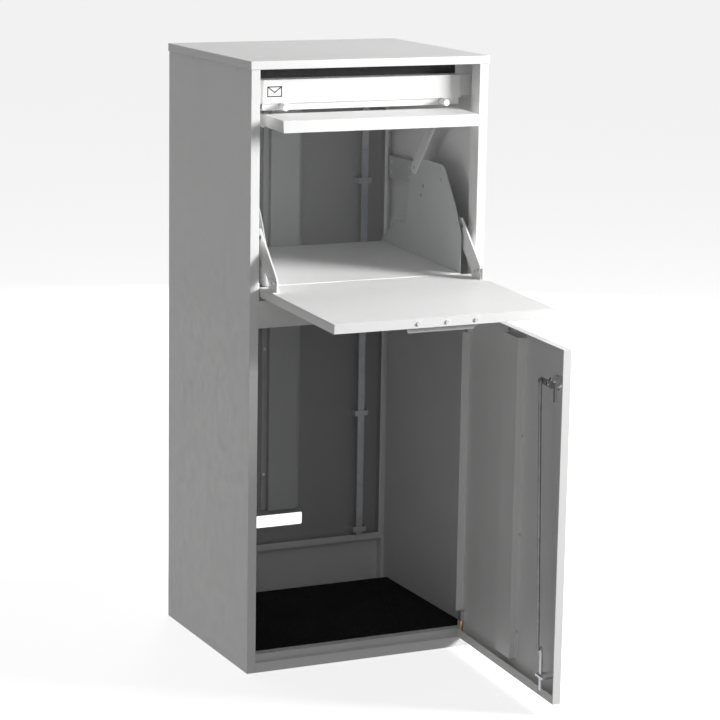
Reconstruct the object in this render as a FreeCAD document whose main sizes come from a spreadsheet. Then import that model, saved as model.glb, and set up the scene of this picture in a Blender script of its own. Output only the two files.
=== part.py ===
import FreeCAD
import Part
import math
import os
import re
import Sketcher

# Parcel drop box: a folded sheet-steel cabinet with a drop-down parcel door and its
# tipping tray above, a retrieval door in front below, and a second one at the rear.
# Frame: X to the right, Y to the rear, Z up, millimetres. The origin is on the ground
# under the middle of the cabinet. Places are first worked out from the cabinet's outer
# left front bottom corner; each finished piece is then moved by half the width and depth.

SIZES = [
    ("width", 440, "cabinet, outside, left to right"),
    ("depth", 370, "cabinet, outside, front to rear"),
    ("tall", 1050, "cabinet, ground to top of lid"),
    ("sheet", 1.5, "steel sheet"),
    ("lid_skirt", 14, "height of the lid's turned-down edge"),
    ("lid_lap", 1.6, "how far the lid stands outside the cabinet"),
    ("lid_play", 0.1, "gap between lid skirt and side panel"),
    ("jamb_wide", 16, "front and rear flange of a side panel"),
    ("jamb_deep", 30, "inward return of a side panel's front flange"),
    ("rear_jamb_deep", 17.5, "inward return of a side panel's rear flange"),
    ("stop_at", 16, "depth at which a closed door meets its stops"),
    ("stop_lap", 5, "how far a stop stands out beside the jamb"),
    ("apron_top", 17.5, "top of the front sill's outer face"),
    ("sill_top", 27.5, "top of the front sill"),
    ("sill_back", 34, "rear face of the front sill"),
    ("floor_top", 25.5, "top of the raised floor"),
    ("mat_thick", 5, "floor mat"),
    ("rail_base", 616, "bottom of the middle rail's face"),
    ("rail_top", 650, "top of the middle rail"),
    ("rail_deep", 22, "middle rail's top flange, front to rear"),
    ("stop_drop", 16, "height of the lip a door's edge closes against"),
    ("axle_y", 10, "hinge rod of the drop door, behind the front plane"),
    ("axle_z", 666.5, "hinge rod of the drop door, above the ground"),
    ("axle_r", 3, "hinge rod radius"),
    ("barrel_r", 5, "hinge barrel radius"),
    ("running", 0.05, "radial clearance of a turning pin"),
    ("drop_reach", 303, "drop door, hinge rod to free edge"),
    ("drop_side", 19.5, "drop door's side edge, from the cabinet's side"),
    ("drop_rise", 6, "drop door's inner face above the hinge rod"),
    ("drop_thick", 16, "drop door, through its thickness"),
    ("drop_tilt", 2, "how far the open door hangs below level, degrees"),
    ("handle_long", 128, "pull handle of the drop door"),
    ("handle_drop", 11, "pull handle, height below the door"),
    ("handle_in", 15, "pull handle, behind the drop door's free edge"),
    ("stay_side", 28, "outer face of a stay, from the cabinet's side"),
    ("stay_thick", 3, "flat bar of a stay"),
    ("pin_reach", 88, "drive pin, from the hinge rod"),
    ("pin_lift", 48, "drive pin, degrees above level with the door open"),
    ("pin_round", 3, "drive pin radius"),
    ("slot_play", 0.4, "gap beside the drive pin in its slot"),
    ("lost_turn", 32, "turn of the door before it moves the tray, degrees"),
    ("wing_side", 37, "inner face of a tray wing, from the cabinet's side"),
    ("tray_gap", 44, "tray, from its rear edge to the cabinet's rear face"),
    ("tray_front", 13, "front edge of the tray"),
    ("wing_top", 849, "top of a tray wing"),
    ("wing_low", 721, "rear step of a tray wing"),
    ("wing_round", 22, "rounding of a tray wing's corners"),
    ("arm_foot_in", 122.3, "hood arm, lower rivet, ahead of the tray's rear edge"),
    ("arm_foot_z", 827.3, "hood arm, lower rivet, height"),
    ("arm_head_y", 115, "hood arm, upper rivet, depth"),
    ("arm_head_z", 945, "hood arm, upper rivet, height"),
    ("arm_wide", 22, "hood arm, flat bar"),
    ("arm_thick", 2, "hood arm, flat bar"),
    ("hood_front", -32, "front edge of the hood"),
    ("hood_back", 50, "rear edge of the hood"),
    ("hood_top", 957, "top of the hood"),
    ("hood_lip", 20, "turned-down edge of the hood"),
    ("hood_flare", 3, "how far the hood's front edge leans forward"),
    ("panel_at", 34, "letter panel, behind the front plane"),
    ("panel_side", 30, "end of the letter panel, from the cabinet's side"),
    ("panel_base", 976, "bottom of the letter panel"),
    ("panel_top", 1015, "top of the letter panel, below the letter slot"),
    ("panel_deep", 26, "flanges of the letter panel"),
    ("panel_round", 9, "rounding of the letter panel's ends"),
    ("curtain_thick", 2, "rubber curtain behind the letter slot"),
    ("buffer_rail_base", 964, "bottom of the buffer rail"),
    ("buffer_side", 70, "buffer, from the cabinet's side"),
    ("buffer_round", 5.5, "buffer radius"),
    ("rail_in", 5, "buffer rail, behind the letter panel's face"),
    ("buffer_long", 22, "buffer, out of its rail"),
    ("rib_front", 255, "front end of a wall rib"),
    ("rib_base", 797, "bottom of a wall rib"),
    ("rib_tall", 40, "height of a wall rib"),
    ("rib_deep", 12, "how far a wall rib stands off the wall"),
    ("door_side", 18.5, "retrieval doors' side edges, from the cabinet's side"),
    ("door_thick", 14.5, "retrieval doors, through their thickness"),
    ("front_base", 19, "bottom of the front door"),
    ("front_top", 614.5, "top of the front door"),
    ("rear_base", 112, "bottom of the rear door"),
    ("rear_top", 986, "top of the rear door"),
    ("rear_sill_top", 109.5, "ledge of the rear sill"),
    ("rear_head_base", 988.5, "ledge of the rear header"),
    ("pivot_in", 4.6, "door pivot, in from the door's hinge edge"),
    ("pivot_gap", 0.2, "gap between a door pivot pin and the door's face plate"),
    ("pivot_r", 2.5, "door pivot pin radius"),
    ("front_open", 86, "how far the front door stands open, degrees"),
    ("door_lip", 15, "inner lip along the front door's bottom edge"),
    ("knuckle_low", 46, "lower hinge knuckle, its foot above the ground"),
    ("knuckle_tall", 18, "hinge knuckle, height"),
    ("knuckle_wide", 12, "hinge knuckle and its notch, across the door"),
    ("hat_web", 56, "stiffener, raised face"),
    ("hat_flange", 10, "stiffener, each flange"),
    ("hat_end", 26, "stiffener, from a door's top or bottom"),
    ("lock_in", 37, "front lock, in from the door's free edge"),
    ("lock_z", 553, "front lock, above the ground"),
    ("lock_r", 9.5, "lock barrel radius"),
    ("plug_r", 6, "lock plug radius"),
    ("lever_arm", 22, "front lock, centre to rod pin"),
    ("lever_tail", 25, "front lock, centre to latch hook"),
    ("lever_wide", 10, "front lock lever, height"),
    ("link_r", 2, "rod pin radius"),
    ("link_play", 0.5, "gap beside a rod pin in the lever's slot"),
    ("bolt_base", 33, "lower end of the front bolt, drawn back"),
    ("bolt_top", 108, "upper end of the front bolt"),
    ("bolt_wide", 8, "front bolt, flat bar"),
    ("rear_lock_x", 376, "rear lock, from the left side"),
    ("rear_lock_z", 600, "rear lock, above the ground"),
    ("rear_arm", 14, "rear lock, centre to rod pin"),
    ("rear_bar", 13, "rear rods, flat bar"),
    ("rear_throw_gap", 1.5, "rear rod ends, clear of the stop lips"),
    ("window_wide", 94, "slot in the rear door"),
    ("window_base", 148, "bottom of the slot in the rear door"),
    ("window_tall", 23, "height of the slot in the rear door"),
    ("window_round", 3, "corner rounding of the slot in the rear door"),
    ("anchor_x", 340, "anchor holes, spacing across"),
    ("anchor_y", 250, "anchor holes, spacing front to rear"),
    ("anchor_r", 4.5, "anchor hole radius"),
]

DERIVED = [
    ("pivot_deep", "=sheet + pivot_r + pivot_gap", "door pivot, behind the door's outer face"),
    ("tray_back", "=depth - tray_gap", "rear edge of the tray"),
    ("arm_foot_y", "=tray_back - arm_foot_in", "hood arm, lower rivet, depth"),
]

HANDS = ("left", "right")

doc = FreeCAD.newDocument("ParcelDropBox")
sheet = doc.addObject("Spreadsheet::Sheet", "Sizes")
for row, (alias, value, meaning) in enumerate(SIZES + DERIVED, start=1):
    sheet.set("A%d" % row, meaning)
    sheet.set("B%d" % row, str(value))
    sheet.setAlias("B%d" % row, alias)
doc.recompute()

WORDS = sorted((alias for alias, value, meaning in SIZES + DERIVED), key=len, reverse=True)
WORD_PATTERN = re.compile(r"(?<![\w.])(" + "|".join(WORDS) + r")(?!\w)")
NODES = []


def tied(text):
    """Turn a sum written in the sheet's words into an expression bound to the sheet."""
    return WORD_PATTERN.sub(r"Sizes.\1", text)


def size(alias):
    """The sheet's present value of one size."""
    return float(sheet.get(alias))


def keep(part):
    """Mark an object as one finished sub-part, moved so the origin is under the middle."""
    part.Label = part.Name
    bound = {path.lstrip("."): text for path, text in part.ExpressionEngine}
    for letter, span in (("x", "width"), ("y", "depth")):
        path = "Placement.Base." + letter
        part.setExpression(path, "%s - Sizes.%s / 2" % (bound.get(path, "0"), span))
    NODES.append(part)
    return part


# ---- small building functions --------------------------------------------------------

def block(name, x, y, z):
    """A plate or bar between two bounds on each axis."""
    part = doc.addObject("Part::Box", name)
    for edge, axis, (low, high) in (("Length", "x", x), ("Width", "y", y), ("Height", "z", z)):
        part.setExpression(edge, tied("(%s) - (%s)" % (high, low)))
        part.setExpression("Placement.Base." + axis, tied(low))
    return part


TURN_TO = {
    "x": FreeCAD.Rotation(FreeCAD.Vector(0, 1, 0), 90),
    "y": FreeCAD.Rotation(FreeCAD.Vector(1, 0, 0), -90),
    "z": FreeCAD.Rotation(),
}


def round_bar(name, axis, centre, radius, low, high):
    """A round bar along one axis; centre holds its place on the other two, in x-y-z order."""
    part = doc.addObject("Part::Cylinder", name)
    part.Placement = FreeCAD.Placement(FreeCAD.Vector(), TURN_TO[axis])
    part.setExpression("Radius", tied(radius))
    part.setExpression("Height", tied("(%s) - (%s)" % (high, low)))
    others = [letter for letter in "xyz" if letter != axis]
    part.setExpression("Placement.Base." + axis, tied(low))
    for letter, place in zip(others, centre):
        part.setExpression("Placement.Base." + letter, tied(place))
    return part


def join(name, parts):
    """Weld several shapes into one piece, or group separate ones under one name."""
    whole = doc.addObject("Part::MultiFuse", name)
    whole.Shapes = parts
    whole.Refine = True
    return whole


def cut(name, base, tools):
    """Take one or more tools out of a piece."""
    tool = tools[0] if len(tools) == 1 else join(name + "_tools", tools)
    result = doc.addObject("Part::Cut", name)
    result.Base = base
    result.Tool = tool
    result.Refine = True
    return result


def origin_plane(body, role):
    """One of a body's own origin planes."""
    return [item for item in body.Origin.OriginFeatures if item.Role == role][0]


def outline_sketch(body, name, role, points):
    """A closed straight-sided outline whose corners are held by the sheet."""
    sketch = body.newObject("Sketcher::SketchObject", name)
    sketch.AttachmentSupport = (origin_plane(body, role), [""])
    sketch.MapMode = "FlatFace"
    count = len(points)
    rough = [(float(20 * math.cos(6.28 * k / count)), float(20 * math.sin(6.28 * k / count)))
             for k in range(count)]
    for k in range(count):
        start = FreeCAD.Vector(rough[k][0], rough[k][1], 0)
        end = FreeCAD.Vector(rough[(k + 1) % count][0], rough[(k + 1) % count][1], 0)
        sketch.addGeometry(Part.LineSegment(start, end), False)
    for k in range(count):
        sketch.addConstraint(Sketcher.Constraint("Coincident", k, 2, (k + 1) % count, 1))
    for k, (across, along) in enumerate(points):
        for kind, text, value in (("DistanceX", across, rough[k][0]), ("DistanceY", along, rough[k][1])):
            index = sketch.addConstraint(Sketcher.Constraint(kind, -1, 1, k, 1, value))
            sketch.setExpression("Constraints[%d]" % index, tied(text))
    return sketch


def profile(name, role, points, low, high):
    """A PartDesign body: an outline on one origin plane, padded between two bounds."""
    body = doc.addObject("PartDesign::Body", name)
    sketch = outline_sketch(body, name + "_outline", role, points)
    sketch.setExpression("AttachmentOffset.Base.z", tied(low))
    pad = body.newObject("PartDesign::Pad", name + "_pad")
    pad.Profile = sketch
    pad.setExpression("Length", tied("(%s) - (%s)" % (high, low)))
    body.Tip = pad
    sketch.Visibility = False
    return body


def round_off(body, radius, chosen):
    """Round the edges of a body's pad whose middle point passes the test."""
    doc.recompute()
    pad = body.Tip
    names = []
    for number, edge in enumerate(pad.Shape.Edges, start=1):
        middle = edge.CenterOfMass
        straight = edge.Curve.TypeId == "Part::GeomLine"
        if straight and abs(edge.tangentAt(edge.FirstParameter).x) > 0.99 and chosen(middle):
            names.append("Edge%d" % number)
    fillet = body.newObject("PartDesign::Fillet", body.Name + "_rounding")
    fillet.Base = (pad, names)
    fillet.setExpression("Radius", tied(radius))
    body.Tip = fillet
    return body


def across(side):
    """A function giving a place measured from the left or the right outer face."""
    if side == "left":
        return lambda text: text
    return lambda text: "width - (%s)" % text


def between(side, low, high):
    """Two bounds across the cabinet, measured from its left or right outer face."""
    if side == "left":
        return (low, high)
    return ("width - (%s)" % high, "width - (%s)" % low)


def swing(part, axis, centre, angle):
    """Turn a finished piece about a fixed line along X or Z by an angle of the sheet."""
    first, second = centre
    turn_first = "(%s) * cos(%s) - (%s) * sin(%s)" % (first, angle, second, angle)
    turn_second = "(%s) * sin(%s) + (%s) * cos(%s)" % (first, angle, second, angle)
    letters = {"x": ("y", "z"), "z": ("x", "y")}[axis]
    line = FreeCAD.Vector(1, 0, 0) if axis == "x" else FreeCAD.Vector(0, 0, 1)
    part.Placement = FreeCAD.Placement(FreeCAD.Vector(), FreeCAD.Rotation(line, 1))
    part.setExpression("Placement.Rotation.Angle", tied(angle))
    part.setExpression("Placement.Base." + letters[0], tied("(%s) - (%s)" % (first, turn_first)))
    part.setExpression("Placement.Base." + letters[1], tied("(%s) - (%s)" % (second, turn_second)))
    return part


def hang(part):
    """Let a piece of the drop door or tray hang at the open door's slight tilt."""
    return swing(part, "x", ("axle_y", "axle_z"), "drop_tilt")


PIVOT_X = "width - door_side - pivot_in"


def open_front(part):
    """Swing a piece of the front door open about its pivot pins."""
    return swing(part, "z", (PIVOT_X, "pivot_deep"), "front_open")


# ---- cabinet -------------------------------------------------------------------------

def side_panel(side):
    """A side wall with its front and rear flanges and their inward returns."""
    x = across(side)
    corners = [
        ("0", "0"), ("jamb_wide", "0"), ("jamb_wide", "jamb_deep"),
        ("jamb_wide - sheet", "jamb_deep"), ("jamb_wide - sheet", "sheet"),
        ("sheet", "sheet"), ("sheet", "depth - sheet"),
        ("jamb_wide - sheet", "depth - sheet"), ("jamb_wide - sheet", "depth - rear_jamb_deep"),
        ("jamb_wide", "depth - rear_jamb_deep"), ("jamb_wide", "depth"), ("0", "depth"),
    ]
    points = [(x(a), b) for a, b in corners]
    return keep(profile(side + "_side_panel", "XY_Plane", points, "0", "tall - sheet"))


def lid():
    """The top: a tray turned upside down over the cabinet's walls."""
    outer = block("lid_outside", ("-lid_lap", "width + lid_lap"), ("-lid_lap", "depth + lid_lap"),
                  ("tall - lid_skirt", "tall"))
    inner = block("lid_inside", ("-lid_play", "width + lid_play"), ("-lid_play", "depth + lid_play"),
                  ("tall - lid_skirt - 1", "tall - sheet"))
    return keep(cut("lid", outer, [inner]))


def base_pan():
    """The bottom plate, notched round the jambs, with four anchor holes."""
    near, far = "jamb_deep", "depth - rear_jamb_deep"
    points = [
        ("jamb_wide", "sheet"), ("width - jamb_wide", "sheet"), ("width - jamb_wide", near),
        ("width - sheet", near), ("width - sheet", far), ("width - jamb_wide", far),
        ("width - jamb_wide", "depth - sheet"), ("jamb_wide", "depth - sheet"),
        ("jamb_wide", far), ("sheet", far), ("sheet", near), ("jamb_wide", near),
    ]
    plate = profile("base_plate", "XY_Plane", points, "0", "sheet")
    holes = []
    for sign_x in (-1, 1):
        for sign_y in (-1, 1):
            centre = ("width / 2 + %d * anchor_x / 2" % sign_x, "depth / 2 + %d * anchor_y / 2" % sign_y)
            holes.append(round_bar("anchor_hole", "z", centre, "anchor_r", "-1", "sheet + 1"))
    return keep(cut("base_pan", plate, holes))


def floor_panel():
    """The raised floor over the anchor bolts, a wide channel standing on the base pan."""
    front, rear = "sill_back", "depth - rear_jamb_deep - 1"
    points = [
        (front, "sheet"), (front + " + sheet", "sheet"), (front + " + sheet", "floor_top - sheet"),
        (rear + " - sheet", "floor_top - sheet"), (rear + " - sheet", "sheet"), (rear, "sheet"),
        (rear, "floor_top"), (front, "floor_top"),
    ]
    return keep(profile("floor_panel", "YZ_Plane", points, "sheet", "width - sheet"))


def floor_mat():
    """A loose dense foam mat that softens a parcel's landing."""
    points = [
        ("sill_back + 0.5", "floor_top"), ("depth - rear_jamb_deep - 1", "floor_top"),
        ("depth - rear_jamb_deep - 1", "floor_top + mat_thick"),
        ("sill_back + 0.5", "floor_top + mat_thick"),
    ]
    return keep(profile("floor_mat", "YZ_Plane", points, "sheet + 0.5", "width - sheet - 0.5"))


def front_sill():
    """The folded sill: outer apron, door ledge, stop riser, top and rear leg."""
    points = [
        ("0", "0"), ("sheet", "0"), ("sheet", "apron_top - sheet"),
        ("stop_at + sheet", "apron_top - sheet"), ("stop_at + sheet", "sill_top - sheet"),
        ("sill_back - sheet", "sill_top - sheet"), ("sill_back - sheet", "sheet"),
        ("sill_back", "sheet"), ("sill_back", "sill_top"), ("stop_at", "sill_top"),
        ("stop_at", "apron_top"), ("0", "apron_top"),
    ]
    bar = profile("sill_bar", "YZ_Plane", points, "jamb_wide", "width - jamb_wide")
    keeper = block("sill_keeper_slot",
                   ("door_side + lock_in - bolt_wide / 2 - 2", "door_side + lock_in + bolt_wide / 2 + 2"),
                   ("stop_at + sheet + 0.2", "stop_at + sheet + 6"),
                   ("sill_top - sheet - 1", "sill_top + 1"))
    pin_hole = round_bar("sill_pin_hole", "z", (PIVOT_X, "pivot_deep"), "pivot_r + running",
                         "apron_top - 2 * sheet", "apron_top + 1")
    return keep(cut("front_sill", bar, [keeper, pin_hole]))


def mid_rail():
    """The rail between the two front openings, with the lip the lower door closes on."""
    points = [
        ("0", "rail_base"), ("stop_at", "rail_base"), ("stop_at", "rail_base - stop_drop"),
        ("stop_at + sheet", "rail_base - stop_drop"), ("stop_at + sheet", "rail_base + sheet"),
        ("sheet", "rail_base + sheet"), ("sheet", "rail_top - sheet"),
        ("rail_deep", "rail_top - sheet"), ("rail_deep", "rail_top"), ("0", "rail_top"),
    ]
    bar = profile("mid_rail_bar", "YZ_Plane", points, "jamb_wide", "width - jamb_wide")
    pin_hole = round_bar("rail_pin_hole", "z", (PIVOT_X, "pivot_deep"), "pivot_r + running",
                         "rail_base - 1", "rail_base + 2 * sheet")
    return keep(cut("mid_rail", bar, [pin_hole]))


def door_stop(side, end):
    """A strip behind a closed door's side edge, welded to the jamb; an angle at the front."""
    x = across(side)
    if end == "rear":
        return block(side + "_rear_stop", between(side, "jamb_wide", "jamb_wide + stop_lap"),
                     ("depth - stop_at - sheet", "depth - stop_at"),
                     ("rear_sill_top + stop_drop / 2 + 2.5", "rear_head_base - stop_drop"))
    corners = [
        ("jamb_wide", "stop_at"), ("jamb_wide + stop_lap", "stop_at"),
        ("jamb_wide + stop_lap", "stop_at + sheet"), ("jamb_wide + sheet", "stop_at + sheet"),
        ("jamb_wide + sheet", "jamb_deep"), ("jamb_wide", "jamb_deep"),
    ]
    points = [(x(a), b) for a, b in corners]
    return profile(side + "_front_stop", "XY_Plane", points, "sill_top", "rail_base - stop_drop")


REAR_STOP = "depth - stop_at"


def rear_sill():
    """The rail under the rear door; its lip rises behind the door's inner edge."""
    lip_top = "rear_sill_top + stop_drop / 2 + 2.5"
    points = [
        ("depth", "0"), ("depth", "rear_sill_top"), (REAR_STOP, "rear_sill_top"),
        (REAR_STOP, lip_top), (REAR_STOP + " - sheet", lip_top),
        (REAR_STOP + " - sheet", "rear_sill_top - sheet"), ("depth - sheet", "rear_sill_top - sheet"),
        ("depth - sheet", "0"),
    ]
    bar = profile("rear_sill_bar", "YZ_Plane", points, "jamb_wide", "width - jamb_wide")
    pin_hole = round_bar("rear_sill_pin_hole", "z", ("door_side + pivot_in", "depth - pivot_deep"),
                         "pivot_r + running", "rear_sill_top - 2 * sheet", "rear_sill_top + 1")
    return keep(cut("rear_sill", bar, [pin_hole]))


def rear_header():
    """The rail over the rear door; its lip hangs behind the door's inner edge."""
    lip_base = "rear_head_base - stop_drop"
    points = [
        ("depth", "rear_head_base"), ("depth", "tall - sheet"), ("depth - sheet", "tall - sheet"),
        ("depth - sheet", "rear_head_base + sheet"), (REAR_STOP + " - sheet", "rear_head_base + sheet"),
        (REAR_STOP + " - sheet", lip_base), (REAR_STOP, lip_base), (REAR_STOP, "rear_head_base"),
    ]
    bar = profile("rear_header_bar", "YZ_Plane", points, "jamb_wide", "width - jamb_wide")
    pin_hole = round_bar("rear_header_pin_hole", "z", ("door_side + pivot_in", "depth - pivot_deep"),
                         "pivot_r + running", "rear_head_base - 1", "rear_head_base + 2 * sheet")
    return keep(cut("rear_header", bar, [pin_hole]))


def rounded_box(name, x, y, z, radius):
    """A block whose two upright front edges are rounded."""
    body = profile(name, "XY_Plane", [(x[0], y[0]), (x[1], y[0]), (x[1], y[1]), (x[0], y[1])], z[0], z[1])
    doc.recompute()
    pad = body.Tip
    front = min(vertex.Y for vertex in pad.Shape.Vertexes)
    names = []
    for number, edge in enumerate(pad.Shape.Edges, start=1):
        upright = all(abs(vertex.Y - front) < 0.001 for vertex in edge.Vertexes)
        if upright and abs(edge.Vertexes[0].Z - edge.Vertexes[1].Z) > 0.001:
            names.append("Edge%d" % number)
    fillet = body.newObject("PartDesign::Fillet", name + "_rounding")
    fillet.Base = (pad, names)
    fillet.setExpression("Radius", tied(radius))
    body.Tip = fillet
    return body


def letter_panel():
    """The recessed panel under the letter slot: a shallow tray with rounded ends."""
    back = "panel_at + panel_deep"
    outer = rounded_box("panel_outside", ("panel_side", "width - panel_side"), ("panel_at", back),
                        ("panel_base", "panel_top"), "panel_round")
    inner = rounded_box("panel_inside", ("panel_side + sheet", "width - panel_side - sheet"),
                        ("panel_at + sheet", back + " + 1"),
                        ("panel_base + sheet", "panel_top - sheet"), "panel_round - sheet")
    return keep(cut("letter_panel", outer, [inner]))


def panel_bracket(side):
    """An angle from the side wall to the end of the letter panel."""
    x = across(side)
    front = "panel_at + panel_round + 3"
    corners = [
        ("sheet", front), ("panel_side", front), ("panel_side", front + " + sheet"),
        ("2 * sheet", front + " + sheet"), ("2 * sheet", front + " + 30"), ("sheet", front + " + 30"),
    ]
    points = [(x(a), b) for a, b in corners]
    return profile(side + "_panel_bracket", "XY_Plane", points, "panel_base + sheet",
                   "panel_top - sheet")


def slot_curtain():
    """A black rubber curtain hung under the lid behind the letter slot."""
    front = "panel_at + panel_deep - 6"
    return keep(block("slot_curtain", ("panel_side + 6", "width - panel_side - 6"),
                      (front, front + " + curtain_thick"), ("panel_top + 1", "tall - sheet")))


def buffer_rail():
    """The angle under the letter panel that carries the rubber buffers."""
    face = "panel_at + rail_in"
    points = [
        (face, "buffer_rail_base"), (face + " + 16", "buffer_rail_base"),
        (face + " + 16", "buffer_rail_base + sheet"), (face + " + sheet", "buffer_rail_base + sheet"),
        (face + " + sheet", "panel_base"), (face, "panel_base"),
    ]
    return keep(profile("buffer_rail", "YZ_Plane", points, "panel_side + 6", "width - panel_side - 6"))


def rail_buffers():
    """Two rubber buffers that the closed drop door meets."""
    posts = []
    for side in ("left", "right"):
        place = across(side)("buffer_side")
        posts.append(round_bar(side + "_buffer", "y", (place, "buffer_rail_base + buffer_round"),
                               "buffer_round", "panel_at + rail_in - buffer_long", "panel_at + rail_in"))
    return keep(join("rail_buffers", posts))


def wall_rib(side):
    """A channel stiffening the side wall beside the tray."""
    face = between(side, "sheet + rib_deep - sheet", "sheet + rib_deep")
    legs = between(side, "sheet", "sheet + rib_deep")
    along = ("rib_front", "depth - 18")
    top = "rib_base + rib_tall"
    pieces = [
        block(side + "_rib_face", face, along, ("rib_base", top)),
        block(side + "_rib_foot", legs, along, ("rib_base", "rib_base + sheet")),
        block(side + "_rib_head", legs, along, (top + " - sheet", top)),
    ]
    return join(side + "_wall_rib", pieces)


def pivot_brackets():
    """Two ears on the middle rail that carry the drop door's hinge rod."""
    ears = []
    for side in ("left", "right"):
        ear = block(side + "_ear", between(side, "jamb_wide", "jamb_wide + 2"), ("2", "26"),
                    ("rail_top", "axle_z + 13.5"))
        bore = round_bar(side + "_ear_bore", "x", ("axle_y", "axle_z"), "axle_r + running",
                         between(side, "jamb_wide - 1", "jamb_wide + 3")[0],
                         between(side, "jamb_wide - 1", "jamb_wide + 3")[1])
        ears.append(cut(side + "_ear_bored", ear, [bore]))
    return keep(join("pivot_brackets", ears))


def hinge_rod():
    """The long rod the drop door and the tray both turn on."""
    return keep(round_bar("hinge_rod", "x", ("axle_y", "axle_z"), "axle_r",
                          "jamb_wide + 0.2", "width - jamb_wide - 0.2"))


def door_pins(name, centre, spans):
    """The upper and lower pivot pins of one retrieval door."""
    pins = [round_bar("%s_%d" % (name, k), "z", centre, "pivot_r", low, high)
            for k, (low, high) in enumerate(spans)]
    return keep(join(name, pins))


# ---- drop door -----------------------------------------------------------------------

DROP_TOP = "axle_z + drop_rise"
DROP_BASE = "axle_z + drop_rise - drop_thick"
DROP_FRONT = "axle_y - drop_reach"
DROP_X = ("drop_side", "width - drop_side")
DOOR_BARRELS = (("24", "80"), ("width / 2 - 40", "width / 2 + 40"), ("width - 80", "width - 24"))
TRAY_BARRELS = (("84", "width / 2 - 44"), ("width / 2 + 44", "width - 84"))


def drop_door_pan():
    """The outer pan of the drop door: face plate and four turned-up edges."""
    edge_top = DROP_TOP + " - sheet"
    rear = "axle_y - barrel_r - 0.5"
    pieces = [
        block("pan_face", DROP_X, (DROP_FRONT, "axle_y + 8"), (DROP_BASE, DROP_BASE + " + sheet")),
        block("pan_front", DROP_X, (DROP_FRONT, DROP_FRONT + " + sheet"), (DROP_BASE, edge_top)),
        block("pan_left", ("drop_side", "drop_side + sheet"), (DROP_FRONT, rear), (DROP_BASE, edge_top)),
        block("pan_right", ("width - drop_side - sheet", "width - drop_side"), (DROP_FRONT, rear),
              (DROP_BASE, edge_top)),
        block("pan_rear", DROP_X, (rear + " - sheet", rear), (DROP_BASE, edge_top + " - sheet")),
    ]
    return keep(hang(join("drop_door_pan", pieces)))


def drop_door_liner():
    """The inner face of the drop door, level with the tray when open."""
    points = [
        (DROP_FRONT, DROP_TOP + " - sheet"), ("axle_y - 4", DROP_TOP + " - sheet"),
        ("axle_y - 4", DROP_TOP), (DROP_FRONT, DROP_TOP),
    ]
    return keep(hang(profile("drop_door_liner", "YZ_Plane", points, DROP_X[0], DROP_X[1])))


def barrels(name, spans, leaf):
    """Hinge barrels on one leaf side of the rod, each with its welded leaf."""
    tubes = []
    for k, (low, high) in enumerate(spans):
        tube = round_bar("%s_tube_%d" % (name, k), "x", ("axle_y", "axle_z"), "barrel_r", low, high)
        plate = block("%s_leaf_%d" % (name, k), (low, high), leaf,
                      (DROP_TOP + " - 2 * sheet", DROP_TOP + " - sheet"))
        tubes += [tube, plate]
    solid = join(name + "_solid", tubes)
    bore = round_bar(name + "_bore", "x", ("axle_y", "axle_z"), "axle_r + running", "0", "width")
    return keep(hang(cut(name, solid, [bore])))


def drop_handle():
    """The pull under the drop door's free edge: an angle whose lip has bevelled ends."""
    left, right = "(width - handle_long) / 2", "(width + handle_long) / 2"
    foot = DROP_BASE + " - handle_drop"
    lip_front = DROP_FRONT + " + handle_in"
    outline = [
        (left, DROP_BASE), (left, foot + " + 2.5"), (left + " + 2.5", foot),
        (right + " - 9", foot), (right, foot + " + 7"), (right, DROP_BASE),
    ]
    lip = profile("handle_lip", "XZ_Plane", outline, "-(%s) - 3" % lip_front, "-(%s)" % lip_front)
    flange = block("handle_flange", (left, right), (lip_front, lip_front + " + 20"),
                   (DROP_BASE + " - 2.5", DROP_BASE))
    return keep(hang(join("drop_handle", [lip, flange])))


def drop_screws():
    """Three pan-head screws in the drop door's free edge."""
    heads = []
    for k in (-1, 0, 1):
        centre = "width / 2 + %d * 52" % k
        height = DROP_TOP + " - 8.5"
        head = round_bar("drop_screw_head", "y", (centre, height), "3.2",
                         DROP_FRONT + " - 1.5", DROP_FRONT)
        recess = block("drop_screw_recess", (centre + " - 2", centre + " + 2"),
                       (DROP_FRONT + " - 2", DROP_FRONT + " - 0.9"),
                       (height + " - 0.4", height + " + 0.4"))
        heads.append(cut("drop_screw_slotted", head, [recess]))
    return keep(hang(join("drop_screws", heads)))


def stay(side):
    """A bent flat bar on the drop door; the curved slot in its head drives the tray."""
    points = [
        ("axle_y - 59", DROP_TOP), ("axle_y - 54", "axle_z + 30"), ("axle_y + 20", "axle_z + 101"),
        ("axle_y + 38", "axle_z + 98"), ("axle_y + 58", "axle_z + 84"), ("axle_y + 68", "axle_z + 68"),
        ("axle_y + 66", "axle_z + 56"), ("axle_y + 48", "axle_z + 54"), ("axle_y + 30", "axle_z + 60"),
        ("axle_y + 14", "axle_z + 51"), ("axle_y - 6", "axle_z + 33"), ("axle_y - 24", "axle_z + 17"),
        ("axle_y - 26", DROP_TOP),
    ]
    low, high = between(side, "stay_side", "stay_side + stay_thick")
    body = profile(side + "_stay_bar", "YZ_Plane", points, low, high)
    limit = size("axle_z") + size("drop_rise") + 1
    round_off(body, "4", lambda middle: middle.z > limit)
    holes = stay_studs(side, "stay_hole") + [curved_slot(side)]
    return keep(hang(cut(side + "_stay", body, holes)))


def stay_studs(side, name):
    """The two rivets through one stay and its tab, also used to cut their holes."""
    low, high = between(side, "stay_side - sheet - 1.2", "stay_side + stay_thick + 1.5")
    return [round_bar(name, "x", spot, "3", low, high)
            for spot in (("axle_y - 49", "axle_z + 21"), ("axle_y - 36", "axle_z + 17"))]


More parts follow.
